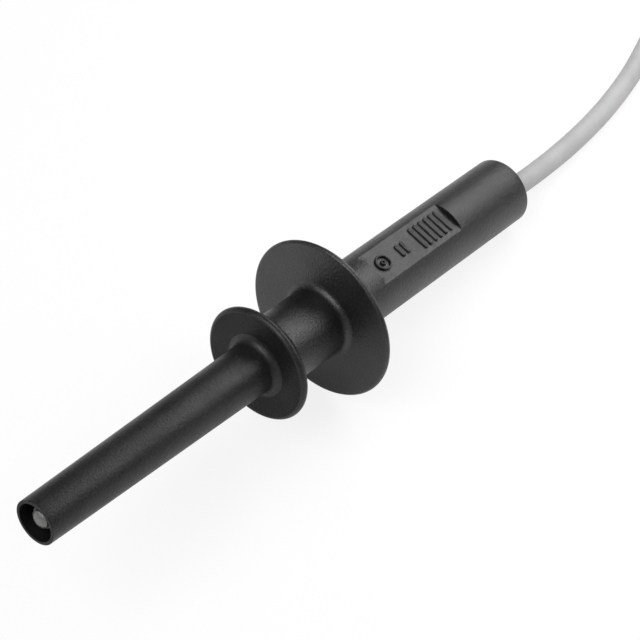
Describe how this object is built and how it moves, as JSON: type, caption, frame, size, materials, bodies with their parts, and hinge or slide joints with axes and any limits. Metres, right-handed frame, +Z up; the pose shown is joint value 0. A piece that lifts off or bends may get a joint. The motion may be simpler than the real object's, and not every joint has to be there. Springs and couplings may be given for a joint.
{
  "type": "test lead",
  "caption": "Guarded test probe with a spring-loaded front sleeve, on a light grey silicone lead that ends in a shrouded plug.",
  "frame": {"origin": "middle of the probe's box, on the surface that the probe lies on", "axes": "+X along the probe, from its mouth to the end where the lead leaves, +Z up; the marking flat faces +Z and leans 15 degrees to -Y"},
  "size_m": [0.3992, 0.048, 0.0453],
  "materials": {
    "body_black": "matte moulded black plastic",
    "inner_plastic": "smooth dark grey plastic",
    "insulator": "smooth dark insulating plastic",
    "spring_steel": "bright drawn wire",
    "nickel": "nickel-plated, slightly dulled",
    "brass": "turned brass",
    "tinned_metal": "tin-plated",
    "copper": "bare copper strands",
    "seal_rubber": "black rubber",
    "lead_silicone": "light grey silicone, satin",
    "tie_strap": "black hook-and-loop strap",
    "plug_rubber": "soft black plastic",
    "plug_black": "fine-textured black plastic",
    "contact_metal": "nickel-plated brass"
  },
  "bodies": {
    "handle": {"handle_shell": "body_black", "end_cap": "body_black", "neck_bush": "inner_plastic", "spring_seat": "inner_plastic", "clamp_collet": "inner_plastic", "rod_insulator": "insulator", "return_spring": "spring_steel", "contact_tip": "nickel", "contact_rod": "brass", "rod_nut": "brass", "lock_washer": "spring_steel", "crimp_barrel": "tinned_metal", "lead_conductor": "copper", "plug_strands": "copper", "seal_ring": "seal_rubber", "lead_run": "lead_silicone", "lead_hank": "lead_silicone", "lead_tail": "lead_silicone", "lead_tie": "tie_strap", "plug_relief": "plug_rubber", "plug_grip": "plug_black", "plug_shroud": "plug_black", "plug_pin": "contact_metal", "plug_cage": "contact_metal"},
    "sleeve": {"front_sleeve": "body_black", "inner_sleeve": "inner_plastic"}
  },
  "joints": [
    {"name": "sleeve_slide", "type": "slide", "parent": "handle", "child": "sleeve", "axis": [0.986, 0, -0.1667], "range_m": [0, 0.004], "stiffness_N_per_m": 400, "springref_m": -0.006, "deforming": ["return_spring"]}
  ]
}
